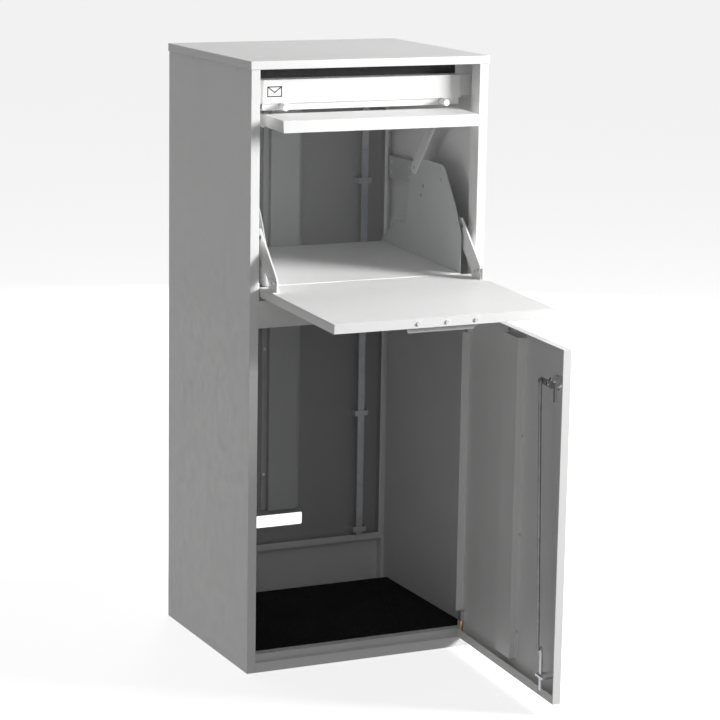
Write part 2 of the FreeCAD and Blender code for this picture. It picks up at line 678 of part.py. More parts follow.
def drive_pin(side, name):
    """The pin of one tray wing, also used to cut its hole."""
    low, high = between(side, "stay_side - 1", "wing_side")
    centre = ("axle_y + pin_reach * cos(pin_lift)", "axle_z + pin_reach * sin(pin_lift)")
    return round_bar(name, "x", centre, "pin_round", low, high)


def stay_tab(side):
    """The angle on the drop door that a stay is riveted to."""
    wall = block(side + "_tab_wall", between(side, "stay_side - sheet", "stay_side"),
                 ("axle_y - 60", "axle_y - 27"), (DROP_TOP, "axle_z + 26"))
    foot = block(side + "_tab_foot", between(side, "drop_side + 1", "stay_side"),
                 ("axle_y - 60", "axle_y - 27"), (DROP_TOP, DROP_TOP + " + sheet"))
    return cut(side + "_stay_tab", join(side + "_tab_plates", [wall, foot]), stay_studs(side, "tab_hole"))


def stay_rivets():
    """Two rivets through each stay and its tab."""
    studs = [stud for side in HANDS for stud in stay_studs(side, side + "_stud")]
    return keep(hang(join("stay_rivets", studs)))


def drive_pins():
    """The pin of each tray wing that rides in the curved slot of its stay."""
    return keep(hang(join("drive_pins", [drive_pin(side, side + "_drive_pin") for side in HANDS])))


# ---- tipping tray --------------------------------------------------------------------

def tray_floor():
    """The shelf that a parcel is set on; it tips to the rear as the door closes."""
    points = [
        ("tray_front", DROP_TOP + " - sheet"), ("tray_back", DROP_TOP + " - sheet"),
        ("tray_back", DROP_TOP), ("tray_front", DROP_TOP),
    ]
    return keep(hang(profile("tray_floor", "YZ_Plane", points, "wing_side", "width - wing_side")))


def tray_wing(side):
    """A side cheek of the tray, bored for its drive pin and rivets."""
    base = DROP_TOP + " - 2.5"
    points = [
        ("axle_y + 7", base), ("axle_y + 9", "axle_z + 75"), ("axle_y + 34", "axle_z + 120"),
        ("axle_y + 82", "wing_top"), ("tray_back - 152", "wing_top"),
        ("tray_back - 104", "wing_top - 20"), ("tray_back - 97", "wing_low + 10"),
        ("tray_back - 85", "wing_low"), ("tray_back - 48", "wing_low - 1"),
        ("tray_back", "axle_z + 12"), ("tray_back", base),
    ]
    low, high = between(side, "wing_side - sheet", "wing_side")
    body = profile(side + "_wing_plate", "YZ_Plane", points, low, high)
    limit = size("wing_top") - 40
    round_off(body, "wing_round", lambda middle: middle.z > limit)
    nick_y = "tray_back - 136"
    nick = block(side + "_wing_nick", between(side, "wing_side - 3", "wing_side + 1"),
                 (nick_y + " - 1", nick_y + " + 1"), ("wing_top - 26", "wing_top + 2"))
    hole = round_bar(side + "_wing_hole", "x", ("tray_back - 150", "axle_z + 116"), "2.5",
                     between(side, "wing_side - 3", "wing_side + 1")[0],
                     between(side, "wing_side - 3", "wing_side + 1")[1])
    holes = [nick, hole, drive_pin(side, "wing_pin_hole")] + tray_studs(side, "wing_hole")
    return keep(hang(cut(side + "_tray_wing", body, holes)))


TRAY_STUDS = (
    ("arm_foot_y", "arm_foot_z", "arm_thick"), ("arm_head_y", "arm_head_z", "arm_thick + sheet"),
    ("tray_back - 156", "axle_z + 134", "0"), ("axle_y + 92.5", "axle_z + 155.5", "0"),
)


def tray_studs(side, name):
    """The rivets of one tray wing and its hood arm, also used to cut their holes."""
    studs = []
    for y, z, over in TRAY_STUDS:
        low, high = between(side, "wing_side - sheet - 1", "wing_side + 1.2 + " + over)
        studs.append(round_bar(name, "x", (y, z), "3.2", low, high))
    return studs


def curved_slot(side):
    """The cutter for the slot: an arc about the hinge rod with round ends."""
    low, high = between(side, "stay_side - 1", "stay_side + stay_thick + 1")
    half = "pin_round + slot_play"
    outer = round_bar(side + "_slot_outer", "x", ("axle_y", "axle_z"), "pin_reach + " + half, low, high)
    inner = round_bar(side + "_slot_inner", "x", ("axle_y", "axle_z"), "pin_reach - (%s)" % half,
                      low, high)
    start, end = "pin_lift", "pin_lift + lost_turn"
    # The sector starts at the local x axis, which the turned cylinder points along -Z.
    for ring in (outer, inner):
        ring.setExpression("Angle", tied("lost_turn"))
        ring.Placement = FreeCAD.Placement(ring.Placement.Base, sector_turn(size("pin_lift")))
    caps = [
        round_bar(side + "_slot_cap", "x",
                  ("axle_y + pin_reach * cos(%s)" % angle, "axle_z + pin_reach * sin(%s)" % angle),
                  half, low, high)
        for angle in (start, end)
    ]
    arc = cut(side + "_slot_arc", outer, [inner])
    return join(side + "_slot", [arc] + caps)


def sector_turn(angle):
    """The turn that lays a cylinder's sector along X, starting at an angle above +Y."""
    lay = TURN_TO["x"]
    spin = FreeCAD.Rotation(FreeCAD.Vector(1, 0, 0), angle + 90)
    return spin.multiply(lay)


def hood_arm(side):
    """The flat bar from a tray wing up to the hood."""
    low, high = between(side, "wing_side", "wing_side + arm_thick")
    run, rise = "(arm_head_y - arm_foot_y)", "(arm_head_z - arm_foot_z)"
    lean = "atan2(%s; %s)" % (rise, run)
    bar = doc.addObject("Part::Box", side + "_arm_bar")
    bar.Placement = FreeCAD.Placement(FreeCAD.Vector(), FreeCAD.Rotation(FreeCAD.Vector(1, 0, 0), 1))
    bar.setExpression("Length", tied("arm_thick"))
    bar.setExpression("Width", tied("sqrt(%s^2 + %s^2)" % (run, rise)))
    bar.setExpression("Height", tied("arm_wide"))
    bar.setExpression("Placement.Rotation.Angle", tied(lean))
    bar.setExpression("Placement.Base.x", tied(low))
    bar.setExpression("Placement.Base.y", tied("arm_foot_y + arm_wide / 2 * sin(%s)" % lean))
    bar.setExpression("Placement.Base.z", tied("arm_foot_z - arm_wide / 2 * cos(%s)" % lean))
    ends = [
        round_bar(side + "_arm_end", "x", centre, "arm_wide / 2", low, high)
        for centre in (("arm_foot_y", "arm_foot_z"), ("arm_head_y", "arm_head_z"))
    ]
    return cut(side + "_hood_arm", join(side + "_arm_blank", [bar] + ends), tray_studs(side, "arm_hole"))


def hood():
    """The folded hood that closes the gap above the tray while the door is open."""
    x_low, x_high = "wing_side + arm_thick", "width - wing_side - arm_thick"
    lip = "hood_front - hood_flare"
    foot = "hood_top - hood_lip"
    shell = [
        ("hood_back", "hood_top - sheet"), ("hood_back", "hood_top"), ("hood_front", "hood_top"),
        (lip, foot), (lip + " + sheet", foot), ("hood_front + sheet", "hood_top - sheet"),
    ]
    cheek = [("hood_back", foot), ("hood_back", "hood_top"), ("hood_front", "hood_top"), (lip, foot)]
    lug = ("arm_head_z - arm_wide / 2", "arm_head_z + arm_wide / 2")
    pieces = [profile("hood_shell", "YZ_Plane", shell, x_low, x_high)]
    holes = []
    for side in HANDS:
        low, high = between(side, "wing_side + arm_thick", "wing_side + arm_thick + sheet")
        pieces.append(profile(side + "_hood_cheek", "YZ_Plane", cheek, low, high))
        pieces.append(block(side + "_hood_lug", (low, high), ("hood_back - 2", "arm_head_y + 8"), lug))
        holes += tray_studs(side, "lug_hole")
    return keep(hang(cut("hood", join("hood_blank", pieces), holes)))


def tray_rivets():
    """The rivets that hold the hood arms and the tray's hidden flanges."""
    studs = [stud for side in HANDS for stud in tray_studs(side, side + "_tray_stud")]
    return keep(hang(join("tray_rivets", studs)))


# ---- retrieval doors -----------------------------------------------------------------

DOOR_X = ("door_side", "width - door_side")


HINGE_EDGE = "width - door_side"
KNUCKLE_X = (HINGE_EDGE + " - knuckle_wide", HINGE_EDGE)
KNUCKLES = (
    ("knuckle_low", "knuckle_low + knuckle_tall"),
    ("front_top + front_base - knuckle_low - knuckle_tall", "front_top + front_base - knuckle_low"),
)


def front_door_panel():
    """The front door: a shallow pan with a bottom lip, notched at its hinge corners."""
    outer = block("front_pan_outside", DOOR_X, ("0", "door_thick"), ("front_base", "front_top"))
    inner = block("front_pan_inside", ("door_side + sheet", "width - door_side - sheet"),
                  ("sheet", "door_thick + 1"), ("front_base + sheet", "front_top - sheet"))
    lip = block("front_pan_lip", ("door_side + sheet", "width - door_side - sheet"),
                ("door_thick - sheet", "door_thick"), ("front_base + sheet", "front_base + door_lip"))
    pan = join("front_pan", [cut("front_pan_shell", outer, [inner]), lip])
    notch_x = (KNUCKLE_X[0], HINGE_EDGE + " + 1")
    notches = [
        block("front_pan_notch", notch_x, ("sheet", "door_thick + 1"), ("front_base - 1", KNUCKLES[0][1])),
        block("front_pan_notch", notch_x, ("sheet", "door_thick + 1"), (KNUCKLES[1][0], "front_top + 1")),
    ]
    lock = round_bar("front_pan_lock", "y", ("door_side + lock_in", "lock_z"), "lock_r", "-1", "sheet + 1")
    return keep(open_front(cut("front_door_panel", pan, notches + [lock])))


def front_door_knuckles():
    """The two bored blocks in the door's hinge corners that turn on the pins."""
    blocks = []
    for low, high in KNUCKLES:
        blank = block("knuckle_blank", KNUCKLE_X, ("sheet", "pivot_deep + 5"), (low, high))
        bore = round_bar("knuckle_bore", "z", (PIVOT_X, "pivot_deep"), "pivot_r + running",
                         low + " - 1", high + " + 1")
        blocks.append(cut("knuckle", blank, [bore]))
    return keep(open_front(join("front_door_knuckles", blocks)))


def rear_door_panel():
    """The rear door: a tall shallow pan with a viewing slot near its foot."""
    face = "depth - door_thick"
    outer = block("rear_pan_outside", DOOR_X, (face, "depth"), ("rear_base", "rear_top"))
    inner = block("rear_pan_inside", ("door_side + sheet", "width - door_side - sheet"),
                  (face + " - 1", "depth - sheet"), ("rear_base + sheet", "rear_top - sheet"))
    pivot = round_bar("rear_pan_pivot", "z", ("door_side + pivot_in", "depth - pivot_deep"),
                      "pivot_r + running", "rear_base - 1", "rear_top + 1")
    lock = round_bar("rear_pan_lock", "y", ("rear_lock_x", "rear_lock_z"), "lock_r",
                     "depth - sheet - 1", "depth + 1")
    return keep(cut("rear_door_panel", outer, [inner, pivot, lock] + rear_window()))


def rear_window():
    """The cutters of the slot near the rear door's foot, with rounded corners."""
    left, right = "(width - window_wide) / 2", "(width + window_wide) / 2"
    low, high = "window_base", "window_base + window_tall"
    through = ("depth - sheet - 1", "depth + 1")
    inner_x = (left + " + window_round", right + " - window_round")
    inner_z = (low + " + window_round", high + " - window_round")
    tools = [
        block("window_wide_cut", (left, right), through, inner_z),
        block("window_tall_cut", inner_x, through, (low, high)),
    ]
    for x in inner_x:
        for z in inner_z:
            tools.append(round_bar("window_corner", "y", (x, z), "window_round", through[0], through[1]))
    return tools


def stiffener(name, face, skin, low, high):
    """A top-hat stiffener between a door's face plate and its inner plane."""
    inward = "sheet" if skin == "sheet" else "-sheet"
    left, right = "(width - hat_web) / 2", "(width + hat_web) / 2"
    edge_left, edge_right = left + " - hat_flange", right + " + hat_flange"
    points = [
        (edge_left, skin), (left + " + sheet", skin), (left + " + sheet", "%s - (%s)" % (face, inward)),
        (right + " - sheet", "%s - (%s)" % (face, inward)), (right + " - sheet", skin),
        (edge_right, skin), (edge_right, "%s + (%s)" % (skin, inward)),
        (right, "%s + (%s)" % (skin, inward)), (right, face), (left, face),
        (left, "%s + (%s)" % (skin, inward)), (edge_left, "%s + (%s)" % (skin, inward)),
    ]
    return profile(name, "XY_Plane", points, low, high)


def door_rivets(name, skin, toward, low, high):
    """Four pairs of blind rivets down a stiffener's flanges."""
    studs = []
    for x in ("(width - hat_web - hat_flange) / 2", "(width + hat_web + hat_flange) / 2"):
        for k in range(4):
            z = "%s + (0.08 + 0.28 * %d) * (%s - %s)" % (low, k, high, low)
            ends = sorted([0, toward])
            y = ["%s + (%s)" % (skin, "%g * sheet + (%g)" % (toward / abs(toward), end)) for end in ends]
            studs.append(round_bar(name + "_stud", "y", (x, z), "2.6", y[0], y[1]))
    return join(name, studs)


def lock_barrel(name, centre, outer, inner):
    """A cam lock's barrel with its flange outside the door."""
    head = round_bar(name + "_head", "y", centre, "lock_r + 3", outer[0], outer[1])
    tube = round_bar(name + "_tube", "y", centre, "lock_r", inner[0], inner[1])
    bore = round_bar(name + "_bore", "y", centre, "plug_r + running",
                     "%s - 10" % min_text(outer, inner), "%s + 10" % max_text(outer, inner))
    return cut(name, join(name + "_solid", [head, tube]), [bore])


def min_text(outer, inner):
    """The frontmost of two spans' bounds."""
    return outer[0] if "depth" not in outer[0] else inner[0]


def max_text(outer, inner):
    """The rearmost of two spans' bounds."""
    return inner[1] if "depth" not in outer[0] else outer[1]


def lock_nut(name, centre, span):
    """The round nut that holds a lock in its door."""
    ring = round_bar(name + "_ring", "y", centre, "lock_r + 3.5", span[0], span[1])
    bore = round_bar(name + "_hole", "y", centre, "lock_r", span[0] + " - 1", span[1] + " + 1")
    return cut(name, ring, [bore])


FRONT_LOCK = ("door_side + lock_in", "lock_z")
LEVER_Y = ("20", "23")


def front_lock_lever():
    """The lock's lever: rod slot on the hinge side, latch hook on the free side."""
    x, z = FRONT_LOCK
    plate = block("lever_plate", (x + " - lever_tail", x + " + lever_arm + 7"), LEVER_Y,
                  (z + " - lever_wide / 2", z + " + lever_wide / 2"))
    hook = block("lever_hook", (x + " - lever_tail - 3", x + " - lever_tail + 3"), LEVER_Y,
                 (z + " - 26", z + " + lever_wide / 2"))
    half = "link_r + link_play"
    slot = block("lever_slot", (x + " + lever_arm", x + " + lever_arm + 3"), ("19", "24"),
                 (z + " - (%s)" % half, z + " + (%s)" % half))
    caps = [round_bar("lever_slot_cap", "y", (place, z), half, "19", "24")
            for place in (x + " + lever_arm", x + " + lever_arm + 3")]
    return keep(open_front(cut("front_lock_lever", join("lever_solid", [plate, hook]), [slot] + caps)))


def front_lock_plug():
    """The front lock's plug, through the door to the lever."""
    core = round_bar("front_plug_core", "y", FRONT_LOCK, "plug_r", "-2.5", LEVER_Y[0])
    keyway = block("front_keyway", (FRONT_LOCK[0] + " - 0.7", FRONT_LOCK[0] + " + 0.7"), ("-3.5", "-1"),
                   (FRONT_LOCK[1] + " - 3.6", FRONT_LOCK[1] + " + 3.6"))
    screw = round_bar("front_plug_screw", "y", FRONT_LOCK, "3.4", LEVER_Y[1], LEVER_Y[1] + " + 2")
    return keep(open_front(join("front_lock_plug", [cut("front_plug_keyed", core, [keyway]), screw])))


def front_rod():
    """The slanting rod from the lever's pin down to the flat bolt."""
    x, z = FRONT_LOCK
    top_x = x + " + lever_arm"
    length = "lock_z - bolt_top + 6"
    shift = "lever_arm"
    rod = doc.addObject("Part::Cylinder", "front_rod_bar")
    rod.Placement = FreeCAD.Placement(FreeCAD.Vector(), FreeCAD.Rotation(FreeCAD.Vector(0, 1, 0), 1))
    rod.setExpression("Radius", tied("2.5"))
    rod.setExpression("Height", tied("sqrt((%s)^2 + (%s)^2)" % (length, shift)))
    rod.setExpression("Placement.Rotation.Angle", tied("atan((%s) / (%s))" % (shift, length)))
    rod.setExpression("Placement.Base.x", tied(x))
    rod.setExpression("Placement.Base.y", tied("26"))
    rod.setExpression("Placement.Base.z", tied("bolt_top - 6"))
    eye = round_bar("front_rod_eye", "y", (top_x, z), "4.5", "23.6", "28")
    pin = round_bar("front_rod_pin", "y", (top_x, z), "link_r", "19", "24")
    return keep(open_front(join("front_rod", [rod, eye, pin])))


def front_bolt():
    """The flat bolt at the rod's foot that drops into the sill's keeper slot."""
    x = FRONT_LOCK[0]
    bar = block("front_bolt_bar", (x + " - bolt_wide / 2", x + " + bolt_wide / 2"), ("18", "21"),
                ("bolt_base", "bolt_top"))
    eye = round_bar("front_bolt_eye", "y", (x, "bolt_top - 5"), "5", "21", "23.5")
    return keep(open_front(join("front_bolt", [bar, eye])))


def front_bolt_guide():
    """The strap that holds the bolt against the door."""
    x = FRONT_LOCK[0]
    z = ("55", "59")
    strap = block("guide_strap", (x + " - 14", x + " + 14"), ("22", "23.5"), z)
    legs = [
        block("guide_leg", (x + " - 14", x + " - 12.5"), ("sheet", "22"), z),
        block("guide_leg", (x + " + 12.5", x + " + 14"), ("sheet", "22"), z),
    ]
    return keep(open_front(join("front_bolt_guide", [strap] + legs)))


REAR_LOCK = ("rear_lock_x", "rear_lock_z")
REAR_INSIDE = "depth - door_thick"
REAR_ROD_Y = (REAR_INSIDE + " - 8.5", REAR_INSIDE + " - 5.5")
REAR_CAM_Y = (REAR_INSIDE + " - 12.5", REAR_INSIDE + " - 9.5")


def rear_lock_cam():
    """The rear lock's two-ended cam with a slot for each rod's pin."""
    x, z = REAR_LOCK
    plate = block("rear_cam_plate", (x + " - rear_arm - 7.5", x + " + rear_arm + 7.5"), REAR_CAM_Y,
                  (z + " - 7", z + " + 7"))
    half = "link_r + link_play"
    tools = []
    for sign in ("-", "+"):
        near, far = "%s %s rear_arm" % (x, sign), "%s %s (rear_arm + 2.7)" % (x, sign)
        span = (near, far) if sign == "+" else (far, near)
        depth_span = (REAR_CAM_Y[0] + " - 1", REAR_CAM_Y[1] + " + 1")
        tools.append(block("rear_cam_slot", span, depth_span, (z + " - (%s)" % half, z + " + (%s)" % half)))
        tools += [round_bar("rear_cam_slot_cap", "y", (place, z), half, depth_span[0], depth_span[1])
                  for place in span]
    return keep(cut("rear_lock_cam", plate, tools))


def rear_lock_plug():
    """The rear lock's plug, from the keyhole outside to the cam inside."""
    core = round_bar("rear_plug_core", "y", REAR_LOCK, "plug_r", REAR_CAM_Y[1], "depth + 2.5")
    keyway = block("rear_keyway", (REAR_LOCK[0] + " - 0.7", REAR_LOCK[0] + " + 0.7"),
                   ("depth + 1", "depth + 3.5"), (REAR_LOCK[1] + " - 3.6", REAR_LOCK[1] + " + 3.6"))
    screw = round_bar("rear_plug_screw", "y", REAR_LOCK, "3.4", REAR_CAM_Y[0] + " - 2", REAR_CAM_Y[0])
    return keep(join("rear_lock_plug", [cut("rear_plug_keyed", core, [keyway]), screw]))


def rear_rod(end):
    """A flat rod from the rear cam up to the header or down to the sill."""
    x, z = REAR_LOCK
    bar_x = (x + " - rear_bar / 2", x + " + rear_bar / 2")
    lip = "rear_head_base - stop_drop" if end == "upper" else "rear_sill_top + stop_drop / 2 + 2.5"
    if end == "upper":
        span = (z + " + 14", lip + " - rear_throw_gap")
        pin_x = x + " + rear_arm"
        tab_x = (x + " - rear_bar / 2", x + " + rear_arm + 5")
        tab_z = (z + " + 14", z + " + 24")
        neck_x = (pin_x + " - 4", pin_x + " + 4")
        neck_z = (z + " - 4", z + " + 16")
    else:
        span = (lip + " + rear_throw_gap", z + " - 14")
        pin_x = x + " - rear_arm"
        tab_x = (x + " - rear_arm - 5", x + " + rear_bar / 2")
        tab_z = (z + " - 24", z + " - 14")
        neck_x = (pin_x + " - 4", pin_x + " + 4")
        neck_z = (z + " - 16", z + " + 4")
    pieces = [
        block("rear_rod_bar", bar_x, REAR_ROD_Y, span),
        block("rear_rod_tab", tab_x, REAR_ROD_Y, tab_z),
        block("rear_rod_neck", neck_x, REAR_ROD_Y, neck_z),
        round_bar("rear_rod_pin", "y", (pin_x, z), "link_r", REAR_CAM_Y[0] + " - 1", REAR_ROD_Y[1]),
    ]
    return keep(join("rear_%s_rod" % end, pieces))


def rear_rod_guides():
    """Three straps that hold the rear rods against the door."""
    x = REAR_LOCK[0]
    straps = []
    for z in ("rear_base + 20", "(rear_base + rear_lock_z) / 2", "(rear_top + rear_lock_z) / 2",
              "rear_top - 30"):
        span = (z + " - 5", z + " + 5")
        back = REAR_ROD_Y[0] + " - 2"
        straps.append(join("rear_guide", [
            block("rear_guide_face", (x + " - 13", x + " + 13"), (back, back + " + sheet"), span),
            block("rear_guide_leg", (x + " - 13", x + " - 11.5"), (back, "depth - sheet"), span),
            block("rear_guide_leg", (x + " + 11.5", x + " + 13"), (back, "depth - sheet"), span),
        ]))
    return keep(join("rear_rod_guides", straps))


# ---- build ---------------------------------------------------------------------------

for hand in HANDS:
    side_panel(hand)
keep(join("wall_ribs", [wall_rib(hand) for hand in HANDS]))
keep(join("front_door_stops", [door_stop(hand, "front") for hand in HANDS]))
keep(join("rear_door_stops", [door_stop(hand, "rear") for hand in HANDS]))
keep(join("panel_brackets", [panel_bracket(hand) for hand in HANDS]))
lid()
base_pan()
floor_panel()
floor_mat()
front_sill()
mid_rail()
rear_sill()
rear_header()
letter_panel()
slot_curtain()
buffer_rail()
rail_buffers()
pivot_brackets()
hinge_rod()
door_pins("front_door_pins", (PIVOT_X, "pivot_deep"),
          (("apron_top - sheet", KNUCKLES[0][1]), (KNUCKLES[1][0], "rail_base + sheet")))
door_pins("rear_door_pins", ("door_side + pivot_in", "depth - pivot_deep"),
          (("rear_sill_top - sheet", "rear_base + 8"), ("rear_top - 8", "rear_head_base + sheet")))

drop_door_pan()
drop_door_liner()
barrels("drop_door_barrels", DOOR_BARRELS, ("axle_y - 30", "axle_y"))
drop_handle()
drop_screws()
for hand in HANDS:
    stay(hand)
keep(hang(join("stay_tabs", [stay_tab(hand) for hand in HANDS])))
stay_rivets()
drive_pins()

tray_floor()
barrels("tray_barrels", TRAY_BARRELS, ("axle_y", "axle_y + 30"))
for hand in HANDS:
    tray_wing(hand)
keep(hang(join("hood_arms", [hood_arm(hand) for hand in HANDS])))
hood()
tray_rivets()

front_door_panel()
front_door_knuckles()
keep(open_front(stiffener("front_door_stiffener", "door_thick", "sheet",
                          "front_base + hat_end", "front_top - hat_end / 2")))
keep(open_front(door_rivets("front_door_rivets", "sheet", 1.2, "front_base + hat_end",
                            "front_top - hat_end / 2")))
keep(open_front(lock_barrel("front_lock_barrel", FRONT_LOCK, ("-2.5", "0"), ("0", "18"))))
keep(open_front(lock_nut("front_lock_nut", FRONT_LOCK, ("sheet", "sheet + 3"))))
front_lock_plug()
front_lock_lever()
front_rod()
front_bolt()
front_bolt_guide()

rear_door_panel()
keep(stiffener("rear_door_stiffener", REAR_INSIDE, "depth - sheet",
               "window_base + window_tall + 12", "rear_top - hat_end"))
keep(door_rivets("rear_door_rivets", "depth - sheet", -1.2, "window_base + window_tall + 12",
                 "rear_top - hat_end"))
keep(lock_barrel("rear_lock_barrel", REAR_LOCK, ("depth", "depth + 2.5"),
                 (REAR_ROD_Y[1] + " + 1.5", "depth")))
keep(lock_nut("rear_lock_nut", REAR_LOCK, ("depth - sheet - 3", "depth - sheet")))
rear_lock_plug()
rear_lock_cam()
rear_rod("upper")
rear_rod("lower")
rear_rod_guides()

# ---- check and write -----------------------------------------------------------------

doc.recompute()
failed = [item.Name for item in doc.Objects if "Invalid" in item.State or "Error" in item.State]
if failed:
    raise RuntimeError("failed objects: " + ", ".join(failed))
for item in NODES:
    if item.Shape.isNull() or not item.Shape.isValid() or not item.Shape.Solids:
        raise RuntimeError("bad shape: " + item.Label)

os.makedirs("parts", exist_ok=True)
for item in NODES:
    item.Shape.exportStep(os.path.join("parts", item.Label + ".step"))
print("sub-parts written:", len(NODES))
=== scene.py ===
import math

import bmesh
import bpy
from mathutils import Matrix, Vector

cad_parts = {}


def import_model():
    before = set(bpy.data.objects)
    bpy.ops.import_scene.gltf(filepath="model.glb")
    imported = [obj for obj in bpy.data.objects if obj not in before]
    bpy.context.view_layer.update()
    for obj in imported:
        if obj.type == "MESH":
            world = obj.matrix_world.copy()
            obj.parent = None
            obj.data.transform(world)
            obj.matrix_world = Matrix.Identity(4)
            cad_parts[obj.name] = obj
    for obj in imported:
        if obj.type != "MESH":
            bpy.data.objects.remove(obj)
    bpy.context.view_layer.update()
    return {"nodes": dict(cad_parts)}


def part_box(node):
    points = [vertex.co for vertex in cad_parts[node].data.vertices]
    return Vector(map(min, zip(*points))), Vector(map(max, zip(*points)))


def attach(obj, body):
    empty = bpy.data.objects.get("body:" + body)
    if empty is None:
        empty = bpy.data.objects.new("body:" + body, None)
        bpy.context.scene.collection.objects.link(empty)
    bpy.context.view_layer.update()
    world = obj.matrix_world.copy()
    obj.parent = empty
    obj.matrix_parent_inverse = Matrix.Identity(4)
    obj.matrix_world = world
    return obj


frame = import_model()
NODES = frame["nodes"]
MM = 0.001


# ---- node helpers --------------------------------------------------------------------

class Shader:
    """A new material with a Principled shader and short ways to wire its nodes."""

    def __init__(self, name):
        self.material = bpy.data.materials.new(name)
        self.material.use_nodes = True
        self.tree = self.material.node_tree
        self.tree.nodes.clear()
        self.surface = self.add("ShaderNodeBsdfPrincipled")
        output = self.add("ShaderNodeOutputMaterial")
        self.link(self.surface.outputs["BSDF"], output.inputs["Surface"])
        self.place = self.add("ShaderNodeTexCoord").outputs["Object"]

    def add(self, kind, **settings):
        node = self.tree.nodes.new(kind)
        for key, value in settings.items():
            setattr(node, key, value)
        return node

    def link(self, source, target):
        self.tree.links.new(source, target)

    def set(self, **values):
        for key, value in values.items():
            self.surface.inputs[key.replace("_", " ")].default_value = value

    def noise(self, scale, detail=2.0, stretch=(1, 1, 1)):
        """Noise over the object in metres; stretch squeezes it along an axis."""
        mapping = self.add("ShaderNodeMapping")
        mapping.inputs["Scale"].default_value = stretch
        self.link(self.place, mapping.inputs["Vector"])
        node = self.add("ShaderNodeTexNoise")
        node.inputs["Scale"].default_value = scale
        node.inputs["Detail"].default_value = detail
        node.inputs["Roughness"].default_value = 0.5
        self.link(mapping.outputs["Vector"], node.inputs["Vector"])
        return node.outputs["Fac"]

    def cells(self, scale):
        """Round-ish cells over the object; the scale is per metre."""
        node = self.add("ShaderNodeTexVoronoi")
        node.inputs["Scale"].default_value = scale
        self.link(self.place, node.inputs["Vector"])
        return node

    def ramp(self, source, low, high, start, end):
        """Map a value from one span onto another, held within the new one."""
        node = self.add("ShaderNodeMapRange")
        node.inputs["From Min"].default_value = low
        node.inputs["From Max"].default_value = high
        node.inputs["To Min"].default_value = start
        node.inputs["To Max"].default_value = end
        self.link(source, node.inputs["Value"])
        return node.outputs["Result"]

    def mix(self, factor, first, second):
        """Blend two colours, each a tuple or a socket."""
        node = self.add("ShaderNodeMix", data_type="RGBA")
        self.link(factor, node.inputs["Factor"])
        for socket, value in ((node.inputs[6], first), (node.inputs[7], second)):
            if isinstance(value, tuple):
                socket.default_value = value + (1.0,)
            else:
                self.link(value, socket)
        return node.outputs[2]

    def colour(self, source):
        self.link(source, self.surface.inputs["Base Color"])

    def rough(self, source):
        self.link(source, self.surface.inputs["Roughness"])

    def bump(self, source, depth, strength=1.0, under=None):
        """Raise the surface by a height in metres; under is an earlier bump's normal."""
        node = self.add("ShaderNodeBump")
        node.inputs["Strength"].default_value = strength
        node.inputs["Distance"].default_value = depth
        self.link(source, node.inputs["Height"])
        if under is not None:
            self.link(under, node.inputs["Normal"])
        self.link(node.outputs["Normal"], self.surface.inputs["Normal"])
        return node.outputs["Normal"]


def coat_texture(s):
    """Orange peel, a slight unevenness and satin sheen shared by the powder coats."""
    s.rough(s.ramp(s.noise(60.0, 5.0), 0.3, 0.7, 0.36, 0.52))
    peel = s.bump(s.noise(700.0, 2.0), 0.00012, 0.35)
    s.bump(s.noise(14.0, 2.0), 0.0012, 0.10, peel)
    s.set(Specular_IOR_Level=0.45)


def powder_coat(name, light, dark):
    """Satin powder coat: fine orange peel, faint clouding and a little settled dust."""
    s = Shader(name)
    cloud = s.ramp(s.noise(5.0, 4.0), 0.35, 0.65, 0.0, 1.0)
    fleck = s.ramp(s.noise(420.0, 2.0), 0.62, 0.8, 0.0, 0.35)
    base = s.mix(cloud, light, tuple(0.975 * v for v in light))
    s.colour(s.mix(fleck, base, dark))
    coat_texture(s)
    return s.material


def coat_with_shaded_inside(name, outside, shaded_inside, turn_y):
    """Powder coat darkened as painted shade on the side before a depth in metres."""
    s = Shader(name)
    axes = s.add("ShaderNodeSeparateXYZ")
    s.link(s.place, axes.inputs["Vector"])
    side = s.ramp(axes.outputs["Y"], turn_y - 0.0002, turn_y + 0.0002, 0.0, 1.0)
    cloud = s.ramp(s.noise(5.0, 4.0), 0.35, 0.65, 0.0, 1.0)
    # The inside colour is painted shade: the same white coat, darkened for the shaded cabinet interior.
    inner = s.mix(cloud, shaded_inside, tuple(0.96 * v for v in shaded_inside))
    s.colour(s.mix(side, inner, outside))
    coat_texture(s)
    return s.material


def zinc(name, base, bright, roughness, grain=(1, 1, 1)):
    """Dull plated steel with drawn grain and cloudy patches."""
    s = Shader(name)
    patch = s.cells(70.0)
    tone = s.ramp(patch.outputs["Color"], 0.0, 1.0, 0.0, 0.6)
    s.colour(s.mix(tone, base, bright))
    low, high = roughness
    s.rough(s.ramp(s.noise(220.0, 4.0, grain), 0.3, 0.7, low, high))
    s.bump(s.noise(500.0, 3.0, grain), 0.00008, 0.4)
    s.set(Metallic=0.9)
    return s.material


def polished(name, base, roughness):
    """Turned, polished metal with faint handling marks."""
    s = Shader(name)
    mark = s.ramp(s.noise(160.0, 5.0), 0.4, 0.75, 0.0, 0.5)
    s.colour(s.mix(mark, base, tuple(0.82 * v for v in base)))
    s.rough(s.ramp(s.noise(300.0, 3.0), 0.3, 0.7, roughness, roughness + 0.14))
    s.bump(s.noise(900.0, 2.0, (1, 12, 1)), 0.00003, 0.3)
    s.set(Metallic=1.0)
    return s.material


